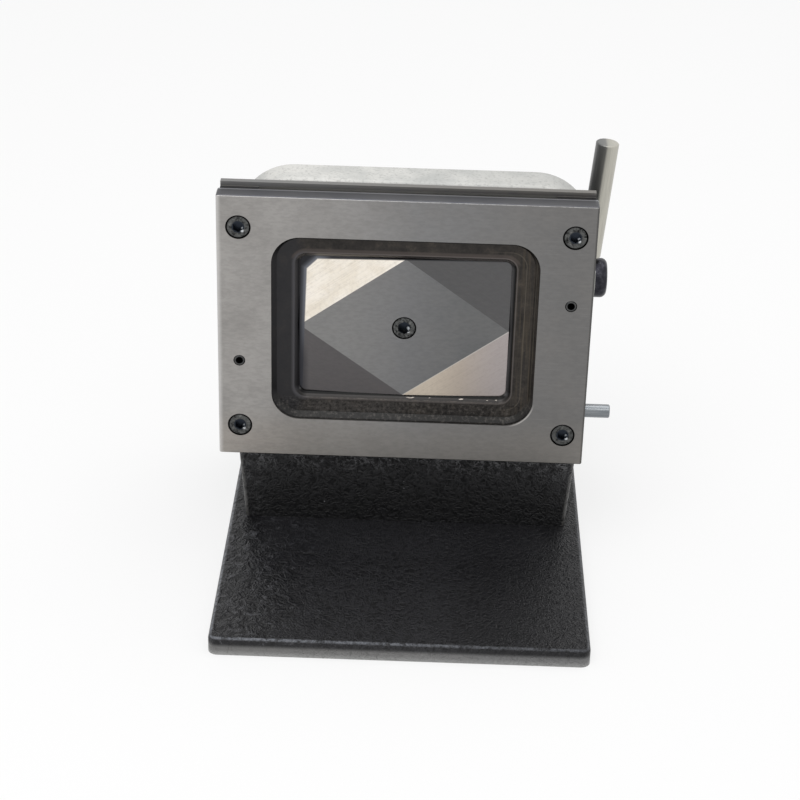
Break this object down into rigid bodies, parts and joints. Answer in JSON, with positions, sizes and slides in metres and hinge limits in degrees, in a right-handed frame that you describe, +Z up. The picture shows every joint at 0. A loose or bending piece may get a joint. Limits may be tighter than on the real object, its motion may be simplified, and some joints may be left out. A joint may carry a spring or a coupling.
{
  "type": "card cutter",
  "caption": "Bench card cutter with an upright side lever on an eccentric shaft that drives a rectangular punch through a slotted die stack on a flared pedestal.",
  "frame": {"origin": "middle of the base plate's underside", "axes": "+X to the lever's side, +Y to the back, away from the die's face, +Z up"},
  "size_m": [0.1701, 0.204, 0.1753],
  "materials": {
    "black_paint": "semi-gloss black wrinkle paint over iron",
    "casting": "black wrinkle paint, machined bright on the upper wall",
    "cover_paint": "semi-gloss black paint on bent sheet",
    "ground_steel": "surface-ground, satin",
    "tool_steel": "ground tool steel",
    "bright_steel": "turned and polished",
    "black_oxide": "black oxide",
    "bronze": "bearing bronze, turned"
  },
  "bodies": {
    "frame": {"base_plate": "black_paint", "body_casting": "casting", "mount_plate": "ground_steel", "guide_plate": "ground_steel", "spacer_left": "ground_steel", "spacer_right": "ground_steel", "sheet_stop": "ground_steel", "die_plate": "ground_steel", "bearing_block_left": "casting", "bearing_block_right": "casting", "shaft_bush_left": "bronze", "shaft_bush_right": "bronze", "guide_post_left": "bright_steel", "guide_post_right": "bright_steel", "rear_cover": "cover_paint", "lever_stop_pin": "bright_steel", "base_screws": "black_oxide", "mount_screws": "black_oxide", "die_screws": "black_oxide", "die_dowels": "bright_steel", "bearing_bolts": "black_oxide", "cover_screws": "black_oxide"},
    "lever_set": {"eccentric_shaft": "bright_steel", "eccentric_sleeve": "bronze", "shaft_collar": "bright_steel", "collar_screw": "black_oxide", "lever": "bright_steel", "lever_washer": "bright_steel", "lever_bolt": "black_oxide"},
    "ram_set": {"ram_block": "tool_steel", "ram_bush_left": "bronze", "ram_bush_right": "bronze", "yoke_keeper": "tool_steel", "keeper_screws": "black_oxide", "punch": "tool_steel", "punch_dowels": "bright_steel", "punch_screw": "black_oxide"}
  },
  "joints": [
    {"name": "lever_swing", "type": "hinge", "parent": "frame", "child": "lever_set", "pos_m": [0, 0.04, 0.11125], "axis": [1, 0, 0], "range_deg": [0, 135]},
    {"name": "ram_slide", "type": "slide", "parent": "frame", "child": "ram_set", "axis": [0, 1, 0], "range_m": [0, 0.007]}
  ],
  "couplings": [
    {"joint": "lever_swing", "follows": "ram_slide", "rad_per_m": 336.6}
  ]
}
